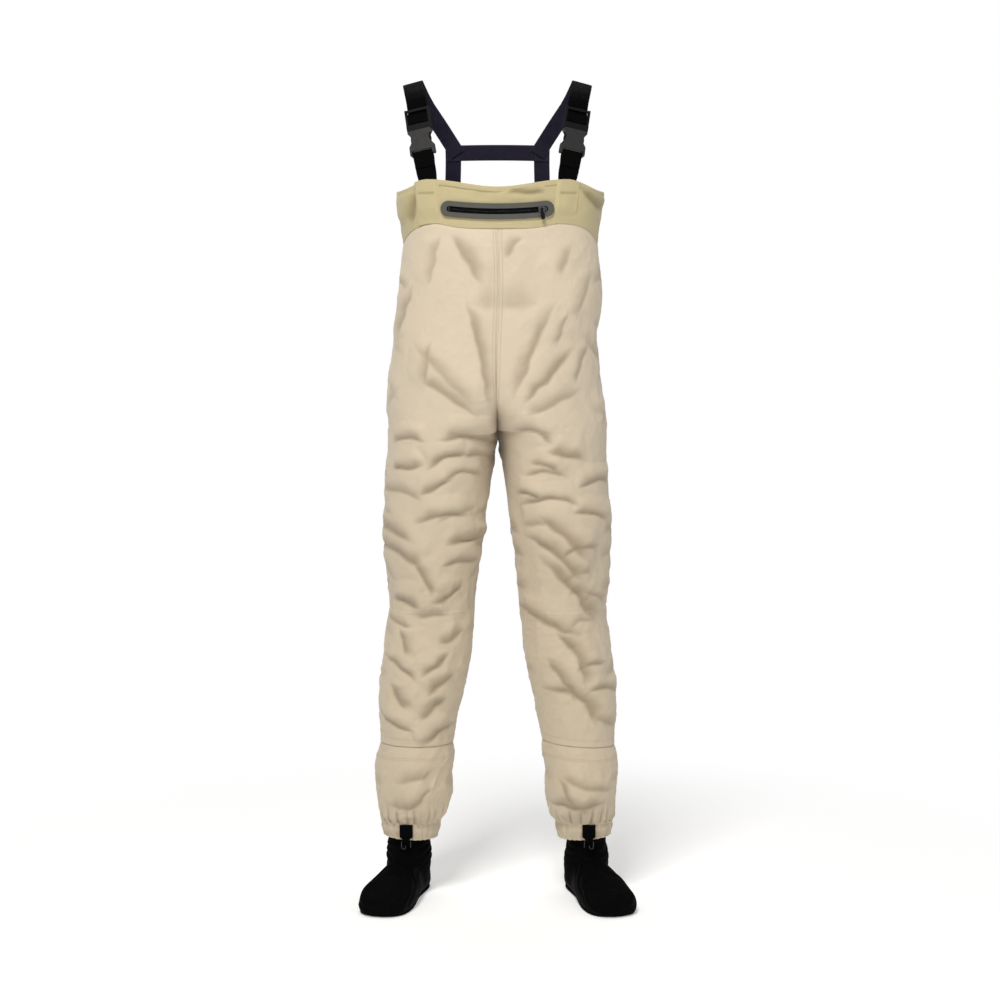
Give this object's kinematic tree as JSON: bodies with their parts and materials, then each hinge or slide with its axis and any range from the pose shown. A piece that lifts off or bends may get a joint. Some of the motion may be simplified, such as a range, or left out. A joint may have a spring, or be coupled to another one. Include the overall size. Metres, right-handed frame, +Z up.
{
  "type": "stockingfoot chest waders",
  "caption": "Stockingfoot chest waders with H-back webbing suspenders, side-release buckles, a zipped chest pocket, elastic gravel guards and neoprene socks.",
  "frame": {"origin": "on the ground, midway between the two feet and midway between the toes and the seat; the middle of the chest is 31.9 mm behind it", "axes": "+Z up; -Y the way the wearer faces; +X the wearer's left"},
  "size_m": [0.5192, 0.3218, 1.5479],
  "materials": {
    "shell_fabric": "matt woven laminate, sand beige",
    "band_fabric": "matt woven laminate, olive khaki",
    "pocket_lining": "matt grey lining",
    "seam_tape": "satin heat-sealed tape",
    "front_webbing": "black ribbed webbing",
    "back_webbing": "dark navy stretch webbing",
    "elastic": "black ribbed elastic",
    "black_plastic": "satin moulded acetal",
    "grey_plastic": "satin moulded acetal, warm grey",
    "zip_surround": "matt welded film, dark olive grey",
    "zip_tape": "coated black zip tape",
    "zip_coil": "gloss black nylon",
    "hook_wire": "black coated wire",
    "neoprene": "matt neoprene with a knitted face",
    "sole_neoprene": "matt dense neoprene"
  },
  "bodies": {
    "garment": {"back_seam_tape": "seam_tape", "chest_band": "band_fabric", "cross_strap": "back_webbing", "front_seam_tape": "seam_tape", "left_back_strap": "back_webbing", "left_body_panel": "shell_fabric", "left_buckle_socket": "grey_plastic", "left_gravel_guard": "shell_fabric", "left_leg_sleeve": "shell_fabric", "left_lower_strap": "front_webbing", "left_shin_panel": "shell_fabric", "left_shoulder_strap": "front_webbing", "left_sock_ankle": "neoprene", "left_strap_anchor": "band_fabric", "left_yoke_strap": "back_webbing", "pocket_bag": "pocket_lining", "right_back_strap": "back_webbing", "right_body_panel": "shell_fabric", "right_buckle_socket": "grey_plastic", "right_gravel_guard": "shell_fabric", "right_leg_sleeve": "shell_fabric", "right_lower_strap": "front_webbing", "right_shin_panel": "shell_fabric", "right_shoulder_strap": "front_webbing", "right_sock_ankle": "neoprene", "right_strap_anchor": "band_fabric", "right_yoke_strap": "back_webbing", "zip_closed_end_stop": "zip_coil", "zip_lower_coil": "zip_coil", "zip_lower_tape": "zip_tape", "zip_open_end_stop": "zip_coil", "zip_surround": "zip_surround", "zip_upper_coil": "zip_coil", "zip_upper_tape": "zip_tape"},
    "left_inner_arm": {"left_buckle_inner_arm": "black_plastic"},
    "left_outer_arm": {"left_buckle_outer_arm": "black_plastic"},
    "left_plug": {"left_buckle_plug": "black_plastic"},
    "left_cuff": {"left_guard_cuff": "shell_fabric", "left_guard_elastic": "elastic"},
    "left_tab": {"left_hook_tab": "front_webbing"},
    "left_hook": {"left_lace_hook": "hook_wire"},
    "left_foot": {"left_sock_foot": "neoprene", "left_sock_sole": "sole_neoprene"},
    "right_inner_arm": {"right_buckle_inner_arm": "black_plastic"},
    "right_outer_arm": {"right_buckle_outer_arm": "black_plastic"},
    "right_plug": {"right_buckle_plug": "black_plastic"},
    "right_cuff": {"right_guard_cuff": "shell_fabric", "right_guard_elastic": "elastic"},
    "right_tab": {"right_hook_tab": "front_webbing"},
    "right_hook": {"right_lace_hook": "hook_wire"},
    "right_foot": {"right_sock_foot": "neoprene", "right_sock_sole": "sole_neoprene"},
    "zip_puller_body": {"zip_puller": "black_plastic"},
    "zip_slider_body": {"zip_slider": "zip_coil"}
  },
  "joints": [
    {"name": "zip_slide", "type": "hinge", "parent": "garment", "child": "zip_slider_body", "pos_m": [0, 0.19714, 1.43016], "axis": [0, 0.4067, -0.9135], "range_deg": [0, 29]},
    {"name": "zip_puller_swing", "type": "hinge", "parent": "zip_slider_body", "child": "zip_puller_body", "pos_m": [0.08188, -0.09328, 1.30424], "axis": [-0.9681, -0.2288, -0.1019], "range_deg": [0, 165]},
    {"name": "left_buckle_slide", "type": "slide", "parent": "garment", "child": "left_plug", "axis": [0.148, 0.25, 0.9569], "range_m": [0, 0.03], "deforming": ["left_shoulder_strap"]},
    {"name": "left_outer_arm_flex", "type": "hinge", "parent": "left_plug", "child": "left_outer_arm", "pos_m": [0.15756, -0.04149, 1.44649], "axis": [-0.2815, 0.9382, -0.2016], "range_deg": [0, 14]},
    {"name": "left_inner_arm_flex", "type": "hinge", "parent": "left_plug", "child": "left_inner_arm", "pos_m": [0.12835, -0.04886, 1.45293], "axis": [0.2815, -0.9382, 0.2016], "range_deg": [0, 14]},
    {"name": "left_guard_lift", "type": "slide", "parent": "garment", "child": "left_cuff", "axis": [0, 0, 1], "range_m": [0, 0.06], "deforming": ["left_gravel_guard"]},
    {"name": "left_tab_swing", "type": "hinge", "parent": "left_cuff", "child": "left_tab", "pos_m": [0.174, -0.02, 0.142], "axis": [-1, 0, 0], "range_deg": [0, 75]},
    {"name": "left_hook_turn", "type": "hinge", "parent": "left_tab", "child": "left_hook", "pos_m": [0.174, -0.02, 0.111], "axis": [-1, 0, 0], "range_deg": [-25, 100]},
    {"name": "left_ankle", "type": "hinge", "parent": "garment", "child": "left_foot", "pos_m": [0.171, 0.0369, 0.085], "axis": [-0.9659, -0.2588, 0], "range_deg": [-25, 20]},
    {"name": "right_buckle_slide", "type": "slide", "parent": "garment", "child": "right_plug", "axis": [-0.148, 0.25, 0.9569], "range_m": [0, 0.03], "deforming": ["right_shoulder_strap"]},
    {"name": "right_outer_arm_flex", "type": "hinge", "parent": "right_plug", "child": "right_outer_arm", "pos_m": [-0.15756, -0.04149, 1.44649], "axis": [-0.2815, -0.9382, 0.2016], "range_deg": [0, 14]},
    {"name": "right_inner_arm_flex", "type": "hinge", "parent": "right_plug", "child": "right_inner_arm", "pos_m": [-0.12835, -0.04886, 1.45293], "axis": [0.2815, 0.9382, -0.2016], "range_deg": [0, 14]},
    {"name": "right_guard_lift", "type": "slide", "parent": "garment", "child": "right_cuff", "axis": [0, 0, 1], "range_m": [0, 0.06], "deforming": ["right_gravel_guard"]},
    {"name": "right_tab_swing", "type": "hinge", "parent": "right_cuff", "child": "right_tab", "pos_m": [-0.174, -0.02, 0.142], "axis": [-1, 0, 0], "range_deg": [0, 75]},
    {"name": "right_hook_turn", "type": "hinge", "parent": "right_tab", "child": "right_hook", "pos_m": [-0.174, -0.02, 0.111], "axis": [-1, 0, 0], "range_deg": [-25, 100]},
    {"name": "right_ankle", "type": "hinge", "parent": "garment", "child": "right_foot", "pos_m": [-0.171, 0.0369, 0.085], "axis": [-0.9659, 0.2588, 0], "range_deg": [-25, 20]}
  ],
  "couplings": [
    {"joint": "left_outer_arm_flex", "follows": "left_buckle_slide", "rad_per_m": 8.1},
    {"joint": "left_inner_arm_flex", "follows": "left_buckle_slide", "rad_per_m": 8.1},
    {"joint": "right_outer_arm_flex", "follows": "right_buckle_slide", "rad_per_m": 8.1},
    {"joint": "right_inner_arm_flex", "follows": "right_buckle_slide", "rad_per_m": 8.1}
  ]
}
